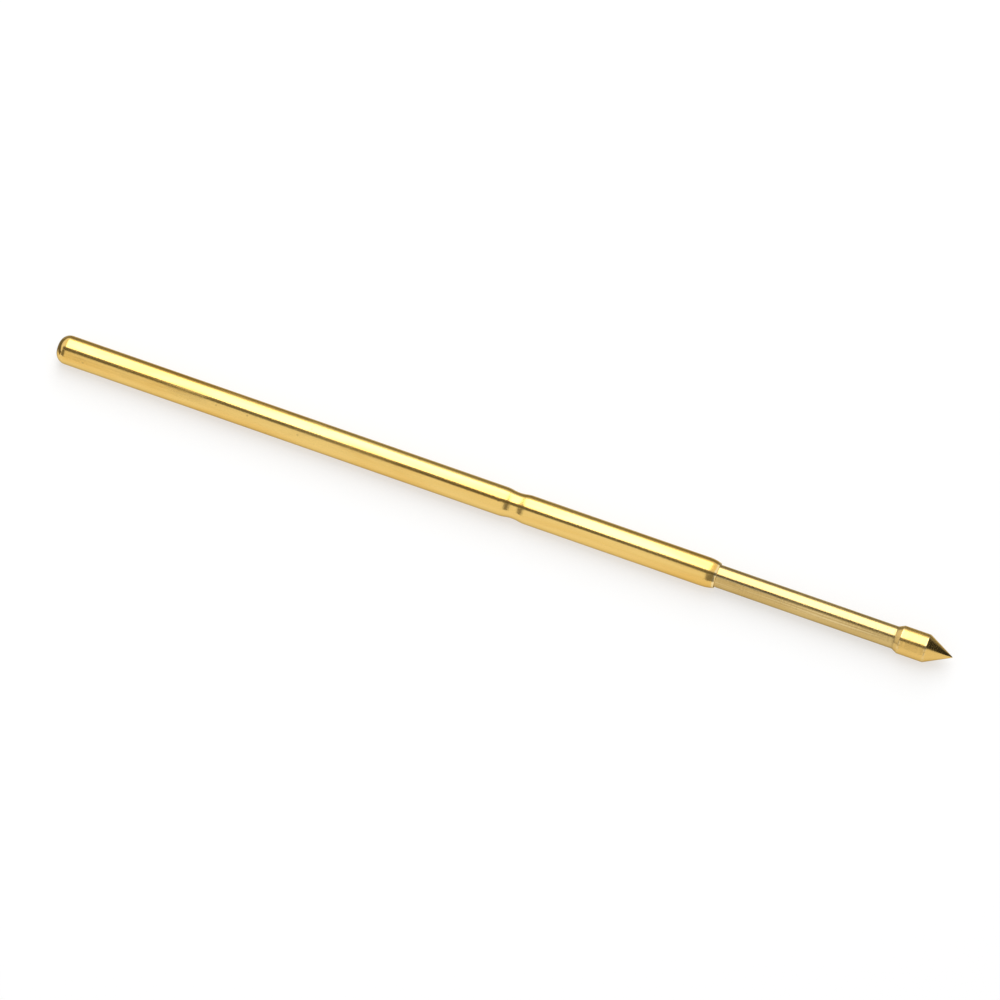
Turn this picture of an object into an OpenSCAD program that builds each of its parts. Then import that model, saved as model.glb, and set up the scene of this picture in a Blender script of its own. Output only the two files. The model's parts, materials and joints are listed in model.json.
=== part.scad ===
// Spring-loaded test probe tip: a pointed plunger slides in a drawn barrel against a coil spring.
// The axis lies along X. The closed tail's end face is at x = 0 and the point is at the +X end.
// All lengths are in millimetres.

/* [Barrel] */
// Outer diameter of the barrel
barrel_d = 1.04; // [1:0.01:1.3]
// Wall of the drawn tube
wall = 0.1; // [0.08:0.005:0.18]
// Length of the barrel, from the tail's end face to the mouth
barrel_length = 24.5; // [20:0.1:30]
// Outer radius of the closed tail's rounded edge
tail_round = 0.38; // [0.3:0.01:0.42]
// Length over which the mouth's outer edge is rounded
mouth_length = 0.45; // [0.2:0.05:0.6]
// Thickness of the lip that is left at the mouth
lip = 0.03; // [0.02:0.01:0.08]

/* [Crimp] */
// Distance of the rolled crimp behind the mouth
crimp_setback = 7.4; // [7.2:0.1:9]
// Width of the crimp along the barrel, over both its shoulders
crimp_width = 1; // [0.5:0.05:1.2]

/* [Plunger] */
// Depth of the neck that the crimp rides in
neck_depth = 0.05; // [0.04:0.01:0.12]
// Stroke of the plunger, which the length of the neck allows
travel = 6.35; // [3:0.05:6.8]
// Length of the bearing behind the neck
bearing_length = 2.4; // [1.5:0.1:3.5]
// How much slimmer the bearing is at its rear than at its front, all round
bearing_relief = 0.015; // [0.01:0.005:0.03]
// Bevel on the bearing's rear edge
bearing_bevel = 0.06; // [0.02:0.01:0.12]
// How far the head stands out from the shaft, all round
head_rise = 0.1; // [0.04:0.01:0.18]
// Length of the taper from the shaft up to the head
head_taper = 0.2; // [0.1:0.05:0.5]
// Length of the head's straight stretch
head_length = 0.93; // [0.5:0.01:2]
// Included angle of the point, in degrees
point_angle = 55; // [25:5:90]
// Radius of the very tip of the point
tip_radius = 0.02; // [0.01:0.005:0.06]

/* [Spring] */
// Diameter of the spring's wire
wire_d = 0.13; // [0.09:0.01:0.14]
// Open turns that flex
active_turns = 42; // [30:1:50]
// Closed turns at each end
end_turns = 1; // [1:1:2]

/* [Clearances] */
// Gap all round the shaft and the bearing in the bore, and round the neck in the crimp
shaft_clearance = 0.02; // [0.01:0.005:0.03]
// Gap all round the spring in the bore
spring_clearance = 0.03; // [0.02:0.005:0.05]
// Gap between touching seats: neck's ends on crimp, spring on tail and spring on bearing
seat_gap = 0.005; // [0.002:0.001:0.01]
// Gap between neighbouring closed turns of the spring
turn_gap = 0.01; // [0.005:0.005:0.03]
// Gap left between the head and the mouth at the full push
head_gap = 0.1; // [0.05:0.05:0.5]

/* [Hidden] */
$fn = 96;
// Sides of a whole circle where only a short, flat arc of it shows, as at the crimp and the mouth
flat_arc_sides = 240;

barrel_r = barrel_d / 2;
bore_r = barrel_r - wall;
shaft_r = bore_r - shaft_clearance;
neck_r = shaft_r - neck_depth;

// The mouth's outer edge is one arc, which meets the barrel's side smoothly and ends at the lip.
mouth_x = barrel_length - mouth_length;
mouth_drop = wall - lip;
mouth_curve = (pow(mouth_length, 2) + pow(mouth_drop, 2)) / (2 * mouth_drop);

// The crimp draws the wall in by the neck's depth, so it clears the neck as the bore clears the shaft.
crimp_x = barrel_length - crimp_setback;
crimp_curve = (pow(crimp_width / 2, 2) + pow(neck_depth, 2)) / (4 * neck_depth);
groove_centre_r = barrel_r - neck_depth + crimp_curve;
shoulder_centre_r = barrel_r - crimp_curve;

// An edge of the shaft's radius stops where the crimp's inner shoulder has come in by the clearance.
inner_shoulder = crimp_curve - wall;
stop_reach = sqrt(pow(inner_shoulder, 2) - pow(inner_shoulder - shaft_clearance, 2));
stop_x = crimp_width / 2 - stop_reach + seat_gap;
bearing_front_x = crimp_x - stop_x;
bearing_rear_x = bearing_front_x - bearing_length;
bearing_rear_r = shaft_r - bearing_relief;
neck_end_x = crimp_x + stop_x + travel;

head_r = shaft_r + head_rise;
head_x = barrel_length + travel + head_gap;
cone_x = head_x + head_taper + head_length;
half_angle = point_angle / 2;
tip_centre_x = cone_x + head_r / tan(half_angle) - tip_radius / sin(half_angle);
tip_edge_r = tip_radius * cos(half_angle);
tip_edge_x = tip_centre_x + tip_radius * sin(half_angle);

// The spring's first turn seats in the tail's inner round and its last turn on the bearing's rear face.
wire_r = wire_d / 2;
coil_r = bore_r - spring_clearance - wire_r;
seat_reach = tail_round - wall - wire_r - seat_gap;
seat_offset = max(0, tail_round - wall - wire_r - spring_clearance);
spring_start_x = tail_round - sqrt(pow(seat_reach, 2) - pow(seat_offset, 2));
spring_end_x = bearing_rear_x - wire_r - seat_gap;
closed_pitch = wire_d + turn_gap;
open_pitch = (spring_end_x - spring_start_x - 2 * end_turns * closed_pitch) / active_turns;
total_turns = active_turns + 2 * end_turns;
turn_steps = 12;
wire_sides = 6;

// Axial place of the wire's centre line after a number of turns: closed, open, then closed again
function wire_x(turns) =
    spring_start_x
    + closed_pitch * min(turns, end_turns)
    + open_pitch * min(max(turns - end_turns, 0), active_turns)
    + closed_pitch * max(turns - end_turns - active_turns, 0);

// One point of the wire's cross-section: out from the axis and along it, at a number of turns
function wire_point(turns, side) =
    let (
        around = 360 * turns,
        corner = 360 * side / wire_sides,
        radius = coil_r + wire_r * cos(corner)
    )
    [wire_x(turns) + wire_r * sin(corner), radius * cos(around), radius * sin(around)];

// Turns a half outline, drawn with the radius across and the length upward, about the X axis
module turned() {
    rotate([0, 90, 0])
        rotate_extrude()
            children();
}

// The wave that the crimp's roller leaves in a skin at a depth below the barrel's surface:
// one arc for the groove, and on each side one arc of the same size for the shoulder
module crimp_wave(depth) {
    translate([groove_centre_r, crimp_x])
        circle(crimp_curve + depth, $fn = flat_arc_sides);
    for (side = [-1, 1])
        translate([0, crimp_x])
            difference() {
                polygon([
                    [groove_centre_r, 0],
                    [groove_centre_r, side * crimp_width / 2],
                    [shoulder_centre_r, side * crimp_width / 2]
                ]);
                translate([shoulder_centre_r, side * crimp_width / 2])
                    circle(crimp_curve - depth, $fn = flat_arc_sides);
            }
}

// Half outline of the barrel's skin at a depth below its surface, up to a place along the axis
module barrel_skin(depth, end_x) {
    difference() {
        union() {
            translate([0, depth])
                square([barrel_r - tail_round, tail_round - depth]);
            intersection() {
                translate([barrel_r - tail_round, tail_round])
                    circle(tail_round - depth);
                square([barrel_r, tail_round]);
            }
            translate([0, tail_round])
                square([barrel_r - depth, end_x - tail_round]);
        }
        crimp_wave(depth);
    }
}

module barrel() {
    color([0.93, 0.78, 0.42])
        turned()
            difference() {
                union() {
                    barrel_skin(0, mouth_x);
                    intersection() {
                        translate([barrel_r - mouth_curve, mouth_x])
                            circle(mouth_curve, $fn = flat_arc_sides);
                        translate([0, mouth_x])
                            square([barrel_r, mouth_length]);
                    }
                }
                barrel_skin(wall, barrel_length + wall);
            }
}

module plunger() {
    color([0.86, 0.73, 0.42])
        turned() {
            polygon([
                [0, bearing_rear_x],
                [bearing_rear_r - bearing_bevel, bearing_rear_x],
                [bearing_rear_r, bearing_rear_x + bearing_bevel],
                [shaft_r, bearing_front_x],
                [neck_r, bearing_front_x],
                [neck_r, neck_end_x],
                [shaft_r, neck_end_x],
                [shaft_r, head_x],
                [head_r, head_x + head_taper],
                [head_r, cone_x],
                [tip_edge_r, tip_edge_x],
                [0, tip_edge_x]
            ]);
            intersection() {
                translate([0, tip_centre_x])
                    circle(tip_radius);
                translate([0, tip_centre_x])
                    square(tip_radius);
            }
        }
}

module spring() {
    steps = total_turns * turn_steps;
    last_ring = steps * wire_sides;
    color([0.72, 0.71, 0.68])
        polyhedron(
            points = [
                for (step = [0 : steps], side = [0 : wire_sides - 1])
                    wire_point(step / turn_steps, side)
            ],
            faces = concat(
                [[for (side = [wire_sides - 1 : -1 : 0]) side]],
                [
                    for (step = [0 : steps - 1], side = [0 : wire_sides - 1])
                        let (
                            next = (side + 1) % wire_sides,
                            here = step * wire_sides,
                            ahead = here + wire_sides
                        )
                        [here + side, here + next, ahead + next, ahead + side]
                ],
                [[for (side = [0 : wire_sides - 1]) last_ring + side]]
            )
        );
}

barrel();
plunger();
spring();
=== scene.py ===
import json
import math
import bpy
import numpy as np
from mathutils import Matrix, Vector


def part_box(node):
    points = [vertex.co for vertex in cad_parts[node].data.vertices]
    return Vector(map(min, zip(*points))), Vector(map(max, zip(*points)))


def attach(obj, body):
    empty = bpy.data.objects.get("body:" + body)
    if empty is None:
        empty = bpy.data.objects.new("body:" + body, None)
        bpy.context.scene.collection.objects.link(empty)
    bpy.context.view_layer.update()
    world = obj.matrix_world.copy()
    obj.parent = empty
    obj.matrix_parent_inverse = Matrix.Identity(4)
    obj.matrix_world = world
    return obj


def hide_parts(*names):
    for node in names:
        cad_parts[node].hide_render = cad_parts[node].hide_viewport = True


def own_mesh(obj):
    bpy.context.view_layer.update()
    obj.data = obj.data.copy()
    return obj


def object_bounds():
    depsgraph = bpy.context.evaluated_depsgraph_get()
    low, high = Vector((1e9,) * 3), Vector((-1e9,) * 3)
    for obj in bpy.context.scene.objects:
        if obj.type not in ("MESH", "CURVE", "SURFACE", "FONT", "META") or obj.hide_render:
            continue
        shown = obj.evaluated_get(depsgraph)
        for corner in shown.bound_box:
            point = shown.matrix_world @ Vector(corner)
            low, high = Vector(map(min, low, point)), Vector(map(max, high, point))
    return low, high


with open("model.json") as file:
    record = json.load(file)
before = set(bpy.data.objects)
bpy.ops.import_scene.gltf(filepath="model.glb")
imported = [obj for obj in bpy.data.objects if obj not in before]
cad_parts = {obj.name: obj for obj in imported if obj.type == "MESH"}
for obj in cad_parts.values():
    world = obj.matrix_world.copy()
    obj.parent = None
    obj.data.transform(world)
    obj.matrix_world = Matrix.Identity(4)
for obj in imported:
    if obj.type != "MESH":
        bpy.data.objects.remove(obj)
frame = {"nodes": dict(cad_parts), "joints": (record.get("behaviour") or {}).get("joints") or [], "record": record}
cadLow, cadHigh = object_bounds()
partMiddle = (cadLow + cadHigh) / 2
scene = bpy.context.scene
scene.view_settings.view_transform = "Standard"
mm = 0.001  # the shapes are worked out in millimetres, the scene is in metres
shank = next(m for m in frame["record"]["mounts"] if m["name"] == "shank")
barrelRadius = shank["dims"]["r_mm"]
slide = frame["joints"][0]
travel = slide["range_m"][1] / mm
print("frame loaded:", sorted(frame["nodes"]))


# outlines, and the surfaces that are made from them

surfaceSpec = {
    "fineStep": 0.002,  # mm between the points that an outline is worked out on
    "softness": 0.008,  # mm, reach of the blur that rounds sharp corners
    "bellReaches": 4,  # how many reaches a bell curve goes out from its middle
    "ringStep": 0.6,  # mm between rings on a straight stretch
    "ringTurn": 4.0,  # degrees between rings on a bend
    "wearAndShadeReach": 0.05,  # mm, how far the rubbing, and the painted shade in inward corners, spread from a corner
    "maskStep": 0.12,  # change of a mask between rings
}


def straightRun(*corners):
    # points (x, r) that are joined by straight lines
    return np.array(corners, float)


def arcRun(centre, radius, startTurn, endTurn):
    # points (x, r) on a circle: the centre plus the radius times cosine and sine of a turn in degrees
    length = radius * math.radians(abs(endTurn - startTurn))
    count = int(length / surfaceSpec["fineStep"]) + 3
    turns = np.radians(np.linspace(startTurn, endTurn, count))
    return np.array(centre) + radius * np.column_stack([np.cos(turns), np.sin(turns)])


def bell(reach):
    # weights of a bell curve, as wide as the reach says, on the fine step
    half = int(surfaceSpec["bellReaches"] * reach / surfaceSpec["fineStep"])
    away = np.arange(-half, half + 1) * surfaceSpec["fineStep"] / reach
    weights = np.exp(-0.5 * away ** 2)
    return weights / weights.sum()


def evenPath(runs):
    # the runs joined end to end, with points spaced evenly along their whole length
    path = np.vstack(runs)
    along = np.append(0, np.cumsum(np.hypot(*np.diff(path, axis=0).T)))
    even = np.linspace(0, along[-1], int(along[-1] / surfaceSpec["fineStep"]))
    return np.column_stack([np.interp(even, along, values) for values in path.T])


def softPath(runs):
    # each point becomes the bell-weighted mean of its neighbours, so that a corner turns into a small
    # round; past the axis at both ends the outline goes on as its own mirror image
    path = evenPath(runs)
    weights = bell(surfaceSpec["softness"])
    half = len(weights) // 2
    mirror = np.array([1, -1])
    padded = np.vstack([path[half:0:-1] * mirror, path, path[-2:-half - 2:-1] * mirror])
    path = np.column_stack([np.convolve(values, weights, "valid") for values in padded.T])
    path[[0, -1], 1] = 0
    return path


def cornerMasks(path):
    # how far the outline turns near each point, in radians: outward corners and inward corners
    heading = np.unwrap(np.arctan2(np.gradient(path[:, 1]), np.gradient(path[:, 0])))
    turning = np.gradient(heading)
    weights = bell(surfaceSpec["wearAndShadeReach"])
    weights = weights / weights.max()
    edge = np.convolve(np.clip(-turning, 0, None), weights, "same")
    nook = np.convolve(np.clip(turning, 0, None), weights, "same")
    return heading, np.clip(edge, 0, 1), np.clip(nook, 0, 1)


def turnedGrid(runs, sides):
    # a turned surface: the outline (x, r) swept round the X axis, x along, r cos and r sin across;
    # rings stand closer where the outline bends or a corner mask changes
    path = softPath(runs)
    heading, edge, nook = cornerMasks(path)
    need = np.hypot(*np.diff(path, axis=0).T) / surfaceSpec["ringStep"]
    need += np.abs(np.diff(heading)) / math.radians(surfaceSpec["ringTurn"])
    need += (np.abs(np.diff(edge)) + np.abs(np.diff(nook))) / surfaceSpec["maskStep"]
    need = np.append(0, np.cumsum(need))
    points = np.arange(len(path))
    rings = np.interp(np.linspace(0, need[-1], int(need[-1]) + 2), need, points)
    x, r, edge, nook = (np.interp(rings, points, values) for values in (*path.T, edge, nook))
    around = np.arange(sides) * 2 * np.pi / sides
    across, up = np.outer(r, np.cos(around)), np.outer(r, np.sin(around))
    along = np.broadcast_to(x[:, None], across.shape)
    return np.stack([along, across, up], axis=-1), edge, nook


def gridPiece(name, grid, edge, nook):
    # rows of the grid become rings of quads, and the first and last row close in one point each
    rows, sides = grid.shape[:2]
    points = np.vstack([grid[0, :1], grid[1:-1].reshape(-1, 3), grid[-1, :1]])
    index = 1 + np.arange((rows - 2) * sides).reshape(rows - 2, sides)
    nextSide = np.roll(index, -1, axis=1)
    quads = np.stack([index[:-1], nextSide[:-1], nextSide[1:], index[1:]], axis=-1).reshape(-1, 4)
    firstPole = np.stack([np.zeros(sides, int), nextSide[0], index[0]], axis=-1)
    lastPole = np.stack([index[-1], nextSide[-1], np.full(sides, len(points) - 1)], axis=-1)
    faces = quads.tolist() + firstPole.tolist() + lastPole.tolist()
    mesh = bpy.data.meshes.new(name)
    mesh.from_pydata((points * mm).tolist(), [], faces)
    mesh.polygons.foreach_set("use_smooth", np.ones(len(mesh.polygons), bool))
    for label, ringValues in (("edge", edge), ("nook", nook)):
        values = np.concatenate([ringValues[:1], np.repeat(ringValues[1:-1], sides), ringValues[-1:]])
        mask = mesh.attributes.new(label, "FLOAT", "POINT")
        mask.data.foreach_set("value", values.astype(np.float32))
    mesh.update()
    piece = bpy.data.objects.new(name, mesh)
    scene.collection.objects.link(piece)
    return piece


# nodes, and the effects that the metals share

def addNode(tree, kind, inputs=None, **settings):
    # a shader node with its settings; an input takes a link from a socket, or a plain value
    made = tree.nodes.new("ShaderNode" + kind)
    for key, value in settings.items():
        setattr(made, key, value)
    for key, value in (inputs or {}).items():
        if isinstance(value, bpy.types.NodeSocket):
            tree.links.new(value, made.inputs[key])
        else:
            made.inputs[key].default_value = value
    return made


def mathNode(tree, operation, first, second=0.0):
    return addNode(tree, "Math", {0: first, 1: second}, operation=operation).outputs[0]


def times(tree, first, second):
    return mathNode(tree, "MULTIPLY", first, second)


def spread(tree, value, low, high, newLow=0.0, newHigh=1.0):
    # the value's stretch from low to high becomes newLow to newHigh, and is held there at both ends
    named = {"Value": value, "From Min": low, "From Max": high, "To Min": newLow, "To Max": newHigh}
    return addNode(tree, "MapRange", named, interpolation_type="SMOOTHSTEP").outputs["Result"]


def blendColour(tree, share, first, second):
    # sockets 0, 6 and 7 of a colour mix are its share, first and second colour, and 2 is the result
    return addNode(tree, "Mix", {0: share, 6: first, 7: second}, data_type="RGBA").outputs[2]


def objectPlace(tree):
    return addNode(tree, "TexCoord").outputs["Object"]


def stretchedPlace(tree, along, across):
    # object coordinates, in metres, counted in pattern steps along X and across it
    scale = addNode(tree, "CombineXYZ", {"X": along, "Y": across, "Z": across}).outputs[0]
    factors = {0: objectPlace(tree), 1: scale}
    return addNode(tree, "VectorMath", factors, operation="MULTIPLY").outputs[0]


def noiseAt(tree, place, spec):
    named = {"Vector": place, "Scale": 1, "Detail": spec["detail"]}
    named.update({"Roughness": spec["roughness"], "Distortion": spec["distortion"]})
    return addNode(tree, "TexNoise", named).outputs[0]


def startGroup(name, inputs, outputs):
    tree = bpy.data.node_groups.new(name, "ShaderNodeTree")
    for label, kind, value in inputs:
        tree.interface.new_socket(label, in_out="INPUT", socket_type=kind).default_value = value
    for label, kind in outputs:
        tree.interface.new_socket(label, in_out="OUTPUT", socket_type=kind)
    return tree, tree.nodes.new("NodeGroupInput").outputs, tree.nodes.new("NodeGroupOutput").inputs


toolLineSpec = {"detail": 3, "roughness": 0.6, "distortion": 0, "contrast": (0.3, 0.7)}


def makeToolLines():
    # fine lines that drawing or turning leaves: noise stretched hard in one direction
    tree, given, out = startGroup(
        "toolLines",
        [("Along", "NodeSocketFloat", 120), ("Across", "NodeSocketFloat", 12000)],
        [("Lines", "NodeSocketFloat")],
    )
    noise = noiseAt(tree, stretchedPlace(tree, given["Along"], given["Across"]), toolLineSpec)
    tree.links.new(spread(tree, noise, *toolLineSpec["contrast"]), out["Lines"])
    return tree


platingSpec = {"detail": 4, "roughness": 0.55, "distortion": 0.6, "contrast": (0.3, 0.7)}


def makePlatingTone():
    # slow drift of a metal's colour from a deep to a pale tone, in patches drawn out along the part
    tree, given, out = startGroup(
        "platingTone",
        [
            ("Deep", "NodeSocketColor", (0.8, 0.5, 0.15, 1)),
            ("Pale", "NodeSocketColor", (0.9, 0.65, 0.25, 1)),
            ("Along", "NodeSocketFloat", 200),
            ("Across", "NodeSocketFloat", 900),
        ],
        [("Colour", "NodeSocketColor")],
    )
    noise = noiseAt(tree, stretchedPlace(tree, given["Along"], given["Across"]), platingSpec)
    tone = spread(tree, noise, *platingSpec["contrast"])
    tree.links.new(blendColour(tree, tone, given["Deep"], given["Pale"]), out["Colour"])
    return tree


wearAndShadeSpec = {
    "detail": 4,
    "roughness": 0.65,
    "distortion": 0,
    "rubPatches": (0.25, 0.7, 0.35, 1.3),  # noise from, noise to, strength from, strength to
    # the noise and strength of the painted shade in inward corners
    "creaseShadePatches": (0.3, 0.75, 1.2, 0.4),
    "rubContrast": (0.12, 0.85),
    "creaseShadeContrast": (0.08, 0.9),
}


def makeCornerWearAndShade():
    # corners rubbed bright, and painted shade that darkens the inward corners: the mesh's own masks, broken up by
    # a fine noise
    tree, given, out = startGroup(
        "cornerWearAndShade",
        [("Grain", "NodeSocketFloat", 9000)],
        [("Rub", "NodeSocketFloat"), ("CreaseShade", "NodeSocketFloat")],
    )
    patches = noiseAt(tree, stretchedPlace(tree, given["Grain"], given["Grain"]), wearAndShadeSpec)
    edge = addNode(tree, "Attribute", attribute_name="edge").outputs["Fac"]
    nook = addNode(tree, "Attribute", attribute_name="nook").outputs["Fac"]
    rub = times(tree, edge, spread(tree, patches, *wearAndShadeSpec["rubPatches"]))
    # painted shade: the mask of the inward corners, broken up by the noise
    shadeAndPrickDark = times(tree, nook, spread(tree, patches, *wearAndShadeSpec["creaseShadePatches"]))
    tree.links.new(spread(tree, rub, *wearAndShadeSpec["rubContrast"]), out["Rub"])
    tree.links.new(spread(tree, shadeAndPrickDark, *wearAndShadeSpec["creaseShadeContrast"]), out["CreaseShade"])
    return tree


markSpec = {
    "prickSize": (0.05, 0.14, 1, 0),  # from the middle of a cell: full inside, none outside
    "prickChoice": (0.6, 0.9),  # only cells with a high random value get a prick
    "smearStretch": 2.5,  # smears are this much longer than wide
    "detail": 5,
    "roughness": 0.6,
    "distortion": 0.8,
    "smearContrast": (0.48, 0.72),
}


def makeHandlingMarks():
    # pin pricks in the plating, and dull smears where fingers held the part
    tree, given, out = startGroup(
        "handlingMarks",
        [("Pricks", "NodeSocketFloat", 2600), ("Smears", "NodeSocketFloat", 320)],
        [("Pricks", "NodeSocketFloat"), ("Smears", "NodeSocketFloat")],
    )
    place = stretchedPlace(tree, given["Pricks"], given["Pricks"])
    cells = addNode(tree, "TexVoronoi", {"Vector": place, "Scale": 1, "Randomness": 1}).outputs
    chosen = addNode(tree, "SeparateColor", {0: cells["Color"]}).outputs[0]
    prick = spread(tree, cells["Distance"], *markSpec["prickSize"])
    prick = times(tree, prick, spread(tree, chosen, *markSpec["prickChoice"]))
    tree.links.new(prick, out["Pricks"])
    across = times(tree, given["Smears"], markSpec["smearStretch"])
    smears = noiseAt(tree, stretchedPlace(tree, given["Smears"], across), markSpec)
    tree.links.new(spread(tree, smears, *markSpec["smearContrast"]), out["Smears"])
    return tree


toolLines = makeToolLines()
platingTone = makePlatingTone()
cornerWearAndShade = makeCornerWearAndShade()
handlingMarks = makeHandlingMarks()
print("node groups made")


def startMetal(name, spec):
    material = bpy.data.materials.new(name)
    material.use_nodes = True
    tree = material.node_tree
    shader = tree.nodes["Principled BSDF"]
    shader.inputs["Metallic"].default_value = 1
    shader.inputs["Specular Tint"].default_value = spec["edgeTint"]
    return material, tree, shader


def useGroup(tree, group, **values):
    placed = addNode(tree, "Group", node_tree=group)
    for label, value in values.items():
        placed.inputs[label].default_value = value
    return placed.outputs


def useTone(tree, spec):
    steps = {"Along": spec["toneAlong"], "Across": spec["toneAcross"]}
    return useGroup(tree, platingTone, Deep=spec["deep"], Pale=spec["pale"], **steps)["Colour"]


def useLines(tree, along, across):
    return useGroup(tree, toolLines, Along=along, Across=across)["Lines"]


def useWearAndShade(tree, spec):
    wearAndShade = useGroup(tree, cornerWearAndShade, Grain=spec["wearAndShadeGrain"])
    return wearAndShade, useGroup(tree, handlingMarks, Pricks=spec["pricks"], Smears=spec["smears"])


def alongPart(tree):
    return addNode(tree, "SeparateXYZ", {0: objectPlace(tree)}).outputs["X"]


def wornAndShadedColour(tree, spec, colour, bright, shadeAndPrickDark, pricks):
    # rubbed places turn pale, then inward corners get painted shade and pin pricks turn dark
    colour = blendColour(tree, bright, colour, spec["rubbed"])
    colour = blendColour(tree, times(tree, shadeAndPrickDark, spec["creaseShadeShare"]), colour, spec["shadeAndPrickDark"])
    return blendColour(tree, times(tree, pricks, spec["prickShare"]), colour, spec["shadeAndPrickDark"])


def linedRoughness(tree, spec, lines):
    # tool lines swing the roughness evenly up and down
    least = spec["roughness"] - spec["lineRough"] / 2
    return mathNode(tree, "ADD", times(tree, lines, spec["lineRough"]), least)


def wornRoughness(tree, spec, lines, smears, bright):
    # smears add roughness, and rubbing takes some away
    rough = linedRoughness(tree, spec, lines)
    rough = mathNode(tree, "ADD", rough, times(tree, smears, spec["smearRough"]))
    return mathNode(tree, "SUBTRACT", rough, times(tree, bright, spec["rubPolish"]))


def setFinish(tree, shader, spec, colour, rough, height):
    # the height counts in heights of one tool line
    bump = addNode(tree, "Bump", {"Height": height, "Distance": spec["lineHeight"], "Strength": 1})
    tree.links.new(colour, shader.inputs["Base Color"])
    tree.links.new(rough, shader.inputs["Roughness"])
    tree.links.new(bump.outputs["Normal"], shader.inputs["Normal"])


# the barrel

barrelSpec = {
    # shape in mm
    "wall": 0.1,
    "tailRound": 0.38,  # outer radius of the closed tail's edge
    "mouthLength": 0.45,  # stretch over which the mouth's edge is rounded
    "lip": 0.03,  # what is left of the wall at the mouth
    "crimpSetback": 7.4,  # from the mouth back to the middle of the crimp
    "crimpWidth": 1.0,
    "crimpDepth": 0.05,
    "sides": 160,
    # bright gold; along, across, grain, pricks and smears count pattern steps in a metre
    "deep": (0.785, 0.475, 0.115, 1),
    "pale": (0.85, 0.585, 0.19, 1),
    "rubbed": (0.9, 0.69, 0.33, 1),
    # a dark colour for the painted shade in inward corners, also used for the pin pricks
    "shadeAndPrickDark": (0.36, 0.25, 0.09, 1),
    "edgeTint": (0.62, 0.58, 0.48, 1),
    "toneAlong": 160,
    "toneAcross": 1100,
    "drawnAlong": 110,
    "drawnAcross": 15000,
    "rolledAlong": 26000,
    "rolledAcross": 200,
    "rolledFade": (0.7, 1.05),  # shares of half the crimp between which the rolled lines end
    "wearAndShadeGrain": 9000,
    "pricks": 2600,
    "smears": 300,
    "creaseShadeShare": 0.8,
    "prickShare": 0.55,
    "roughness": 0.17,
    "lineRough": 0.07,
    "smearRough": 0.1,
    "rubPolish": 0.05,
    "lineHeight": 6e-7,  # metres
    "prickDepth": 1.5,  # in heights of a line
}
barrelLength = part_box("barrel")[1].x / mm
boreRadius = barrelRadius - barrelSpec["wall"]
crimpMiddle = barrelLength - barrelSpec["crimpSetback"]
halfCrimp = barrelSpec["crimpWidth"] / 2
crimpCurve = (halfCrimp ** 2 + barrelSpec["crimpDepth"] ** 2) / (4 * barrelSpec["crimpDepth"])


def crimpRuns(depth):
    # the rolled crimp in the skin at a depth below the outside: a shoulder arc, a groove arc and a
    # shoulder arc of like size, which run into each other without a corner
    lean = math.degrees(math.asin(halfCrimp / (2 * crimpCurve)))
    shoulderCentre = barrelRadius - crimpCurve
    grooveCentre = barrelRadius - barrelSpec["crimpDepth"] + crimpCurve
    return [
        arcRun((crimpMiddle - halfCrimp, shoulderCentre), crimpCurve - depth, 90, 90 - lean),
        arcRun((crimpMiddle, grooveCentre), crimpCurve + depth, 270 - lean, 270 + lean),
        arcRun((crimpMiddle + halfCrimp, shoulderCentre), crimpCurve - depth, 90 + lean, 90),
    ]


def makeBarrel():
    # outline of a drawn tube: up the tail's end, along the outside over the crimp to the mouth's long
    # round, over the thin lip, and back through the bore to the inside of the tail
    tail, wall, mouthLength = (barrelSpec[key] for key in ("tailRound", "wall", "mouthLength"))
    tailCentre = (tail, barrelRadius - tail)
    mouthDrop = wall - barrelSpec["lip"]
    mouthCurve = (mouthLength ** 2 + mouthDrop ** 2) / (2 * mouthDrop)
    mouthLean = math.degrees(math.asin(mouthLength / mouthCurve))
    mouthCentre = (barrelLength - mouthLength, barrelRadius - mouthCurve)
    outside = [
        straightRun((0, 0)),
        arcRun(tailCentre, tail, 180, 90),
        *crimpRuns(0),
        arcRun(mouthCentre, mouthCurve, 90, 90 - mouthLean),
    ]
    inside = [
        straightRun((barrelLength, boreRadius)),
        *[run[::-1] for run in reversed(crimpRuns(wall))],
        arcRun(tailCentre, tail - wall, 90, 180),
        straightRun((wall, 0)),
    ]
    return gridPiece("barrel_shell", *turnedGrid(outside + inside, barrelSpec["sides"]))


def makeBarrelGold():
    spec = barrelSpec
    material, tree, shader = startMetal("barrelGold", spec)
    tone = useTone(tree, spec)
    drawn = useLines(tree, spec["drawnAlong"], spec["drawnAcross"])
    rolled = useLines(tree, spec["rolledAlong"], spec["rolledAcross"])
    wearAndShade, marks = useWearAndShade(tree, spec)
    # the crimp's roller leaves lines round the barrel instead of the drawn ones along it
    fromMiddle = mathNode(tree, "SUBTRACT", alongPart(tree), crimpMiddle * mm)
    fadeFrom, fadeTo = (share * halfCrimp * mm for share in spec["rolledFade"])
    inCrimp = spread(tree, mathNode(tree, "ABSOLUTE", fromMiddle), fadeFrom, fadeTo, 1, 0)
    lines = addNode(tree, "Mix", {0: inCrimp, 2: drawn, 3: rolled}).outputs[0]
    # rubbed corners turn pale, and the inward corners get painted shade
    colour = wornAndShadedColour(tree, spec, tone, wearAndShade["Rub"], wearAndShade["CreaseShade"], marks["Pricks"])
    rough = wornRoughness(tree, spec, lines, marks["Smears"], wearAndShade["Rub"])
    height = mathNode(tree, "SUBTRACT", lines, times(tree, marks["Pricks"], spec["prickDepth"]))
    setFinish(tree, shader, spec, colour, rough, height)
    return material


barrel = makeBarrel()
barrel.data.materials.append(makeBarrelGold())
print("barrel made:", len(barrel.data.polygons), "faces")


# the plunger

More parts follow.
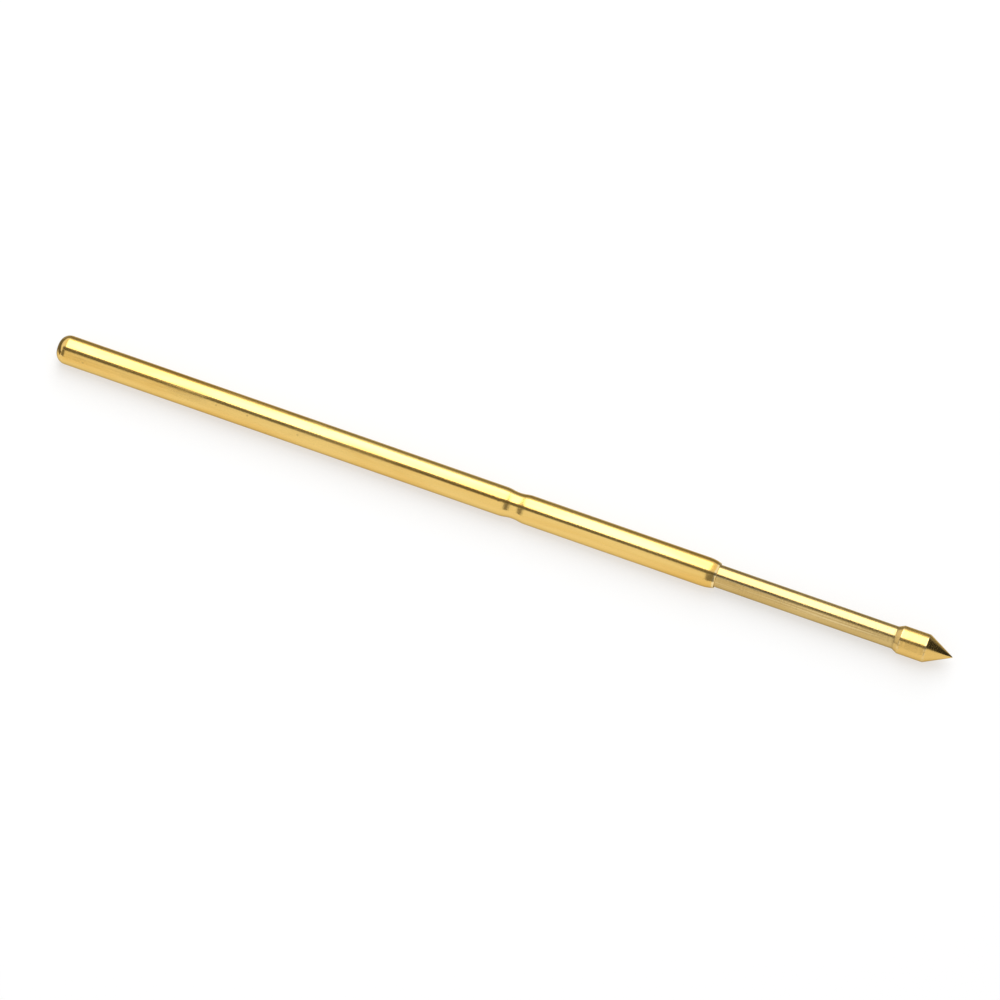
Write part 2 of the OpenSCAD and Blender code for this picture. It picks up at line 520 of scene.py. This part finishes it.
plungerSpec = {
    # shape in mm
    "clearance": 0.02,  # all round in the bore and in the crimp
    "seatGap": 0.005,  # between the neck's ends and the crimp at the stops
    "neckDepth": 0.05,
    "bearingRelief": 0.015,  # how much slimmer the bearing is at its rear
    "bearingBevel": 0.06,
    "headRise": 0.1,
    "headTaper": 0.2,
    "headLength": 0.93,
    "pointAngle": 55.0,  # degrees
    "tipRadius": 0.02,
    "sides": 128,
    # gold that is duller on the shaft than on the head: partly a duller plating, partly painted shade on the
    # shaft; along, across, grain, pricks and smears count steps in a metre
    "deep": (0.57, 0.385, 0.135, 1),
    "pale": (0.65, 0.465, 0.185, 1),
    "headGold": (0.77, 0.5, 0.15, 1),
    "rubbed": (0.8, 0.62, 0.32, 1),
    # a dark colour for the painted shade in inward corners, also used for the pin pricks
    "shadeAndPrickDark": (0.24, 0.17, 0.07, 1),
    "edgeTint": (0.60, 0.56, 0.46, 1),
    "toneAlong": 300,
    "toneAcross": 1300,
    "turnedAlong": 17000,
    "turnedAcross": 260,
    "slidAlong": 160,
    "slidAcross": 16000,
    "slidContrast": (0.62, 0.9),
    "slidFade": 0.8,  # mm before the head over which the sliding marks end
    "slidShare": 0.6,  # how bright the sliding marks are
    "slidDepth": 0.5,  # in heights of a line
    "headFade": 0.4,  # mm over which the head's gold starts
    "wearAndShadeGrain": 11000,
    "pricks": 3200,
    "smears": 420,
    "creaseShadeShare": 0.85,
    "prickShare": 0.5,
    "roughness": 0.2,
    "lineRough": 0.09,
    "smearRough": 0.08,
    "rubPolish": 0.05,
    "lineHeight": 7e-7,  # metres
}


def makePlunger():
    # outline of a turned pin: bevelled rear, bearing, the long neck that rides in the crimp, shaft,
    # head, cone and round tip
    rear, tip = (corner.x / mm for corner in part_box("plunger"))
    shaft = boreRadius - plungerSpec["clearance"]
    neck = shaft - plungerSpec["neckDepth"]
    head = shaft + plungerSpec["headRise"]
    bearing = shaft - plungerSpec["bearingRelief"]
    bevel, tipRadius = plungerSpec["bearingBevel"], plungerSpec["tipRadius"]
    # an edge of the shaft's radius stops where the crimp's inner shoulder has come in by the clearance
    shoulder = crimpCurve - barrelSpec["wall"]
    reach = math.sqrt(shoulder ** 2 - (shoulder - plungerSpec["clearance"]) ** 2)
    stop = halfCrimp - reach + plungerSpec["seatGap"]
    bearingEnd = crimpMiddle - stop
    neckEnd = crimpMiddle + stop + travel
    halfAngle = plungerSpec["pointAngle"] / 2
    sine, tangent = math.sin(math.radians(halfAngle)), math.tan(math.radians(halfAngle))
    tipCentre = tip - tipRadius
    coneStart = tipCentre + tipRadius / sine - head / tangent
    headStart = coneStart - plungerSpec["headLength"]
    runs = [
        straightRun(
            (rear, 0),
            (rear, bearing - bevel),
            (rear + bevel, bearing),
            (bearingEnd, shaft),
            (bearingEnd, neck),
            (neckEnd, neck),
            (neckEnd, shaft),
            (headStart - plungerSpec["headTaper"], shaft),
            (headStart, head),
            (coneStart, head),
        ),
        arcRun((tipCentre, 0), tipRadius, 90 - halfAngle, 0),
    ]
    return gridPiece("plunger_pin", *turnedGrid(runs, plungerSpec["sides"]))


def makePlungerGold():
    spec = plungerSpec
    material, tree, shader = startMetal("plungerGold", spec)
    tone = useTone(tree, spec)
    turned = useLines(tree, spec["turnedAlong"], spec["turnedAcross"])
    slid = useLines(tree, spec["slidAlong"], spec["slidAcross"])
    wearAndShade, marks = useWearAndShade(tree, spec)
    # sliding in and out of the barrel rubs bright lines along the shaft, up to the head
    place = alongPart(tree)
    shaftEnd = (barrelLength + travel) * mm
    onShaft = spread(tree, place, shaftEnd - spec["slidFade"] * mm, shaftEnd, 1, 0)
    rubbed = times(tree, onShaft, spread(tree, slid, *spec["slidContrast"]))
    bright = mathNode(tree, "MAXIMUM", wearAndShade["Rub"], times(tree, rubbed, spec["slidShare"]))
    # the shaft's duller gold, partly painted shade, gives way to the head's gold
    onHead = spread(tree, place, shaftEnd, shaftEnd + spec["headFade"] * mm)
    colour = blendColour(tree, onHead, tone, spec["headGold"])
    # rubbed places turn pale, and the inward corners get painted shade
    colour = wornAndShadedColour(tree, spec, colour, bright, wearAndShade["CreaseShade"], marks["Pricks"])
    rough = wornRoughness(tree, spec, turned, marks["Smears"], bright)
    height = mathNode(tree, "SUBTRACT", turned, times(tree, rubbed, spec["slidDepth"]))
    setFinish(tree, shader, spec, colour, rough, height)
    return material


plunger = makePlunger()
plunger.data.materials.append(makePlungerGold())
print("plunger made:", len(plunger.data.polygons), "faces")


# the spring

springSpec = {
    # shape in mm
    "wire": 0.13,
    "clearance": 0.03,  # all round in the bore
    "turnGap": 0.01,  # between closed turns
    "openTurns": 42,
    "closedTurns": 1,  # at each end
    "stepsPerTurn": 36,
    "sides": 14,
    "endRound": 0.015,  # small round on the cut ends of the wire
    "endBends": (90, 60, 30, 0),  # degrees round the end's edge at which it gets a ring
    "cutRing": 0.5,  # size of one more ring on the flat of the cut, as a share of the wire
    # plain steel; along and across count pattern steps in a metre
    "deep": (0.50, 0.49, 0.47, 1),
    "pale": (0.64, 0.63, 0.60, 1),
    "edgeTint": (0.8, 0.8, 0.8, 1),
    "toneAlong": 2400,
    "toneAcross": 2400,
    "linesAlong": 24000,
    "linesAcross": 900,
    "roughness": 0.28,
    "lineRough": 0.14,
    "lineHeight": 5e-7,  # metres
}
springLow, springHigh = (corner.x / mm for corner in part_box("spring"))


def makeSpring():
    # a wire carried along a helix: the middle of the wire goes round the X axis while x grows by the
    # closed pitch, the open pitch and the closed pitch again, and the wire's circle stands square to it
    wire, endRound = springSpec["wire"] / 2, springSpec["endRound"]
    coil = boreRadius - springSpec["clearance"] - wire
    closed = springSpec["closedTurns"]
    total = springSpec["openTurns"] + 2 * closed
    rise = closed * (springSpec["wire"] + springSpec["turnGap"])
    start, end = springLow + wire, springHigh - wire
    turns = np.linspace(0, total, total * springSpec["stepsPerTurn"] + 1)
    x = np.interp(turns, [0, closed, total - closed, total], [start, start + rise, end - rise, end])
    angle = 2 * np.pi * turns
    radial = np.column_stack([np.zeros_like(angle), np.cos(angle), np.sin(angle)])
    path = coil * radial + np.column_stack([x, np.zeros_like(x), np.zeros_like(x)])
    tangent = np.gradient(path, axis=0)
    tangent /= np.linalg.norm(tangent, axis=1)[:, None]
    # at each end the circle shrinks along a small round and then straight in to the middle of the cut
    bend = np.radians(springSpec["endBends"])
    endSize = np.append([0, springSpec["cutRing"] * wire], wire - endRound * (1 - np.cos(bend)))
    endStep = np.append([1, 1], np.sin(bend)) * endRound
    ends, last = len(endSize) - 1, len(path) - 1
    rows = np.concatenate([np.zeros(ends, int), np.arange(len(path)), np.full(ends, last)])
    size = np.concatenate([endSize[:-1], np.full(len(path), wire), endSize[-2::-1]])
    shift = np.concatenate([-endStep[:-1], np.zeros(len(path)), endStep[-2::-1]])
    centre = path[rows] + shift[:, None] * tangent[rows]
    wireTurn = 2 * np.pi * np.arange(springSpec["sides"]) / springSpec["sides"]
    outward = np.cos(wireTurn)[:, None] * radial[rows][:, None]
    sideways = np.sin(wireTurn)[:, None] * np.cross(tangent, radial)[rows][:, None]
    grid = centre[:, None] + size[:, None, None] * (outward + sideways)
    return gridPiece("spring_coil", grid, np.zeros(len(size)), np.zeros(len(size)))


def makeSpringSteel():
    spec = springSpec
    material, tree, shader = startMetal("springSteel", spec)
    lines = useLines(tree, spec["linesAlong"], spec["linesAcross"])
    rough = linedRoughness(tree, spec, lines)
    setFinish(tree, shader, spec, useTone(tree, spec), rough, lines)
    return material


spring = makeSpring()
spring.data.materials.append(makeSpringSteel())
print("spring made:", len(spring.data.polygons), "faces")


# what each piece stands for and rides on

for piece, node, body, slot in (
    (barrel, "barrel", "barrel", "barrel_gold"),
    (plunger, "plunger", "plunger", "plunger_gold"),
    (spring, "spring", "barrel", "spring_steel"),
):
    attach(piece, body)
    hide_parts(node)
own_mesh(spring)


# floor, light and the grey cards that show in the metal; lengths are in metres

stageSpec = {
    "floorSize": 1.2,
    "floorPoints": 5,  # grid points along a side of the floor
    "floorWhite": 0.95,
    "selfWhite": 0.55,  # share of the floor's white that holds up the background beside the shadow
    "plainBeyond": (0.03, 0.12),  # from the part, where the floor fades to plain white
    "fill": 0.68,  # the world's light on matt surfaces
    "cardPoints": 9,  # grid points along a side of a card
}
softboxSpec = {
    "turn": (84, 153),  # degrees round the part, from the front up and over to the back
    "distance": 0.19,
    "length": 0.115,
    "offset": -0.027,  # along X, so that the long highlight is seen from the camera's side
    "radiance": 2.0,
}
sideCards = {  # turns are in degrees, and along is x from the part's middle
    "frontCard": {"turn": (57, 83), "along": (-0.2, 0.2), "distance": 0.16, "grey": 0.15},
    "frontLeftCard": {"turn": (-2, 56), "along": (-0.19, -0.064), "distance": 0.16, "grey": 0.25},
    "frontRightCard": {"turn": (-2, 56), "along": (0.014, 0.085), "distance": 0.16, "grey": 0.25},
    # backCard stands just behind the part in place of the shaded floor there: painted shade, which the metal shows
    # as a dark line along the top edge
    "backCard": {"turn": (158, 195), "along": (-0.2, 0.2), "distance": 0.002, "grey": 0.28},
}
# rises are in degrees, across is y, and along is x from the tail
pointCard = {"rise": (-6, 100), "across": (-0.0006, 0.0042), "distance": 0.0014, "grey": 0.04}
tailCard = {"rise": (-15, 30), "across": (-0.002, 0.003), "distance": 0.002, "grey": 0.16}
tailShade = {"along": (-0.00195, -0.00005), "across": (-0.00025, 0.0014), "lift": 0.00001, "grey": 0.3}


def whiteFor(tree):
    # 1 where the camera, a mirror or a clear surface looks, 0 for light on matt surfaces
    ray = addNode(tree, "LightPath").outputs
    seen = mathNode(tree, "MAXIMUM", ray["Is Camera Ray"], ray["Is Glossy Ray"])
    return mathNode(tree, "MAXIMUM", seen, ray["Is Transmission Ray"])


def makeWorld():
    world = bpy.data.worlds.new("studio")
    scene.world = world
    world.use_nodes = True
    tree = world.node_tree
    back = tree.nodes["Background"]
    back.inputs["Color"].default_value = (1, 1, 1, 1)
    lift = times(tree, whiteFor(tree), 1 - stageSpec["fill"])
    tree.links.new(mathNode(tree, "ADD", lift, stageSpec["fill"]), back.inputs["Strength"])


def sheetPiece(name, x, y, z):
    # an open sheet from a grid of points
    grid = np.stack(np.broadcast_arrays(x, y, z), axis=-1)
    rows, columns = grid.shape[:2]
    index = np.arange(rows * columns).reshape(rows, columns)
    quads = np.stack([index[:-1, :-1], index[:-1, 1:], index[1:, 1:], index[1:, :-1]], axis=-1)
    mesh = bpy.data.meshes.new(name)
    mesh.from_pydata(grid.reshape(-1, 3).tolist(), [], quads.reshape(-1, 4).tolist())
    mesh.update()
    sheet = bpy.data.objects.new(name, mesh)
    scene.collection.objects.link(sheet)
    return sheet


def plainMaterial(name):
    # a material without a shader yet, and the socket that takes one
    material = bpy.data.materials.new(name)
    material.use_nodes = True
    tree = material.node_tree
    tree.nodes.remove(tree.nodes["Principled BSDF"])
    return material, tree, tree.nodes["Material Output"].inputs["Surface"]


def makeFloor():
    # a flat square under the barrel's side, matt near the part so that it keeps the shadow
    half = stageSpec["floorSize"] / 2
    side = np.linspace(-half, half, stageSpec["floorPoints"])
    x, y = np.meshgrid(side + partMiddle.x, side)
    floor = sheetPiece("floor", x, y, -barrelRadius * mm)
    material, tree, surface = plainMaterial("paleFloor")
    toMiddle = {0: objectPlace(tree), 1: tuple(partMiddle)}
    fromPart = addNode(tree, "VectorMath", toMiddle, operation="DISTANCE").outputs["Value"]
    share = spread(tree, fromPart, *stageSpec["plainBeyond"], stageSpec["selfWhite"], 1)
    share = times(tree, share, whiteFor(tree))
    matt = addNode(tree, "BsdfDiffuse", {"Color": (stageSpec["floorWhite"],) * 3 + (1,)}).outputs[0]
    white = addNode(tree, "Emission", {"Strength": 1}).outputs[0]
    tree.links.new(addNode(tree, "MixShader", {0: share, 1: matt, 2: white}).outputs[0], surface)
    floor.data.materials.append(material)


def makeSoftbox():
    # a flat lamp square to the part, as high as the two turns ask for at its distance
    turnFrom, turnTo = (math.radians(turn) for turn in softboxSpec["turn"])
    middleTurn, halfTurn = (turnFrom + turnTo) / 2, (turnTo - turnFrom) / 2
    lamp = bpy.data.lights.new("softbox", "AREA")
    lamp.shape = "RECTANGLE"
    lamp.size = softboxSpec["length"]
    lamp.size_y = 2 * softboxSpec["distance"] * math.tan(halfTurn)
    lamp.energy = 4 * softboxSpec["radiance"] * lamp.size * lamp.size_y  # watts for that radiance
    light = bpy.data.objects.new("softbox", lamp)
    scene.collection.objects.link(light)
    target = Vector((partMiddle.x + softboxSpec["offset"], 0, 0))
    toLight = Vector((0, -math.cos(middleTurn), math.sin(middleTurn)))
    light.location = target + softboxSpec["distance"] * toLight
    light.rotation_euler = (-toLight).to_track_quat("-Z", "Y").to_euler()
    light.visible_camera = False


def makeCard(name, grey, x, y, z):
    # a grey card that only shows in the metal
    card = sheetPiece(name, x, y, z)
    card.visible_camera = False
    card.visible_diffuse = False
    card.visible_shadow = False
    card.visible_transmission = False
    material, tree, surface = plainMaterial(name)
    glow = addNode(tree, "Emission", {"Color": (grey, grey, grey, 1), "Strength": 1}).outputs[0]
    tree.links.new(glow, surface)
    card.data.materials.append(material)


def cardGrid(first, second):
    # even steps through the first range along each row, and through the second from row to row
    count = stageSpec["cardPoints"]
    return np.meshgrid(np.linspace(*first, count), np.linspace(*second, count))


def makeSideCard(name, card):
    # part of a tube about the part's axis: x along, and a turn from the front up and over
    x, turn = cardGrid(card["along"], np.radians(card["turn"]))
    y, z = -card["distance"] * np.cos(turn), card["distance"] * np.sin(turn)
    makeCard(name, card["grey"], x + partMiddle.x, y, z)


def makeEndCard(name, card, end, side):
    # part of a tube about a line across one end of the part: y across, and a rise above the axis
    y, rise = cardGrid(card["across"], np.radians(card["rise"]))
    x = end + side * card["distance"] * np.cos(rise)
    makeCard(name, card["grey"], x, y, card["distance"] * np.sin(rise))


def makeTailShade(name, card):
    # a flat card just above the floor, before the tail: painted shade, which only the metal shows, in place of the
    # floor's contact shade under the tail
    x, y = cardGrid(card["along"], card["across"])
    makeCard(name, card["grey"], x + cadLow.x, y, card["lift"] - barrelRadius * mm)


makeWorld()
makeFloor()
makeSoftbox()
for name, card in sideCards.items():
    makeSideCard(name, card)
makeEndCard("pointCard", pointCard, cadHigh.x, 1)
makeEndCard("tailCard", tailCard, cadLow.x, -1)
makeTailShade("tailShade", tailShade)
print("stage made")


# the camera

cameraSpec = {
    "azimuth": 21.0,  # degrees round from the front towards the point
    "elevation": 65.0,
    "lens": 200.0,  # mm
    "sensor": 36.0,  # mm
    "frameWidth": 0.0345,  # metres across the picture at the part
    "clipStart": 0.001,  # metres
}


def makeCamera():
    data = bpy.data.cameras.new("camera")
    data.lens = cameraSpec["lens"]
    data.sensor_width = cameraSpec["sensor"]
    data.clip_start = cameraSpec["clipStart"]
    turn, rise = math.radians(cameraSpec["azimuth"]), math.radians(cameraSpec["elevation"])
    level = math.cos(rise)
    back = Vector((math.sin(turn) * level, -math.cos(turn) * level, math.sin(rise)))
    camera = bpy.data.objects.new("camera", data)
    scene.collection.objects.link(camera)
    camera.location = partMiddle + back * cameraSpec["frameWidth"] * data.lens / data.sensor_width
    camera.rotation_euler = (-back).to_track_quat("-Z", "Y").to_euler()
    scene.camera = camera


makeCamera()
